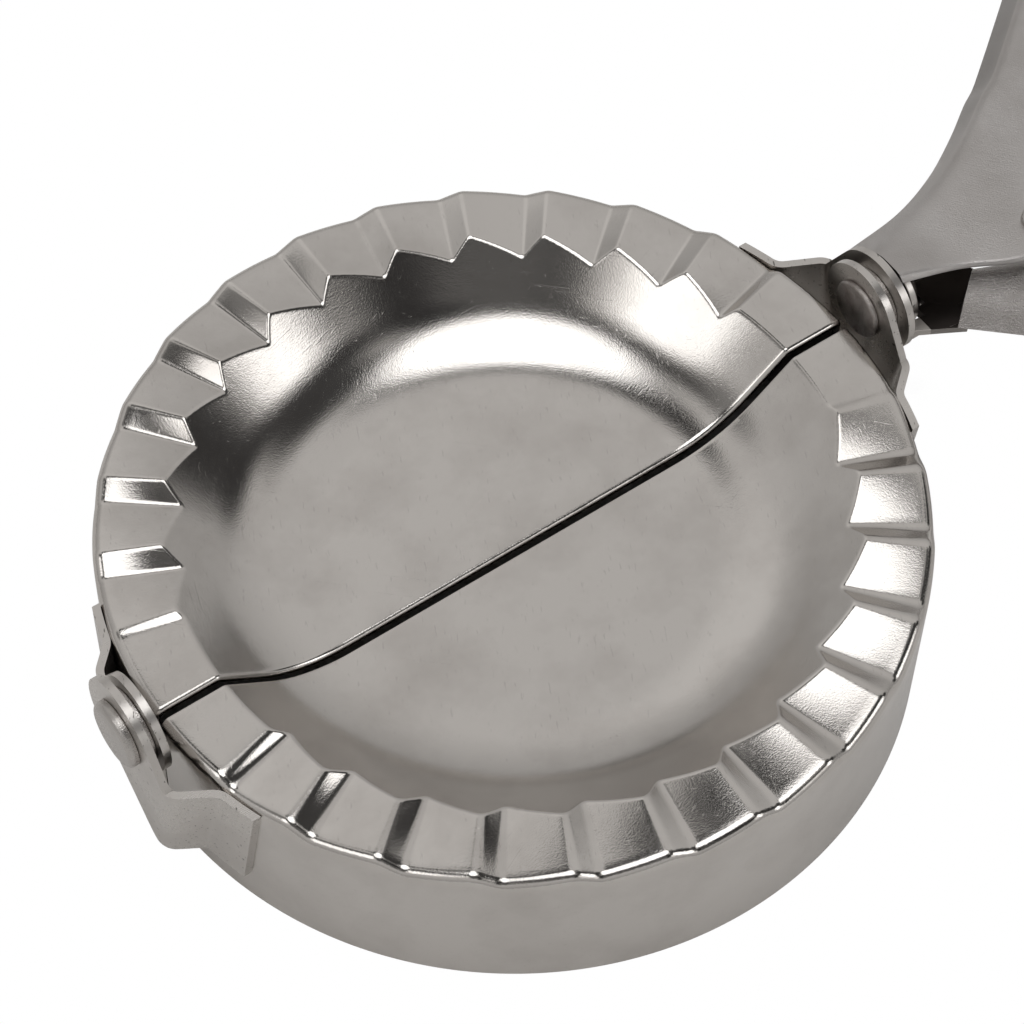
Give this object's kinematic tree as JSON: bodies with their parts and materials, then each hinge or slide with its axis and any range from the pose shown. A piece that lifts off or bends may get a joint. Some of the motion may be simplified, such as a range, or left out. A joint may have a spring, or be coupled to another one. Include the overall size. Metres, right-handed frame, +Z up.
{
  "type": "empanada press",
  "caption": "Hinged steel press: two crimped half dishes with cutting skirts fold together to seal a filled dough round, worked by two channel handles.",
  "frame": {"origin": "middle of the footprint of the open press, on the table under its cutting rims", "axes": "+X along the hinge axis from the dishes to the handles, +Y to the left half, +Z up out of the dishes"},
  "size_m": [0.1902, 0.1144, 0.0272],
  "materials": {
    "shell_steel": "bright rolled sheet, lightly scratched",
    "strap_steel": "plain rolled sheet",
    "rivet_steel": "turned, peened ends",
    "handle_steel": "satin brushed along the handle"
  },
  "bodies": {
    "right_half": {"right_half_shell": "shell_steel", "front_right_strap": "strap_steel", "rear_right_strap": "strap_steel", "front_hinge_rivet": "rivet_steel", "rear_hinge_rivet": "rivet_steel", "front_spacer_washer": "rivet_steel", "rear_spacer_washer": "rivet_steel", "left_handle_bracket": "strap_steel", "left_handle": "handle_steel", "left_handle_rivets": "rivet_steel"},
    "left_half": {"left_half_shell": "shell_steel", "front_left_strap": "strap_steel", "rear_left_strap": "strap_steel", "right_handle_bracket": "strap_steel", "right_handle": "handle_steel", "right_handle_rivets": "rivet_steel"}
  },
  "joints": [
    {"name": "fold", "type": "hinge", "parent": "right_half", "child": "left_half", "pos_m": [-0.04391, 0.004, 0.0209], "axis": [1, 0, 0], "range_deg": [0, 180]}
  ]
}
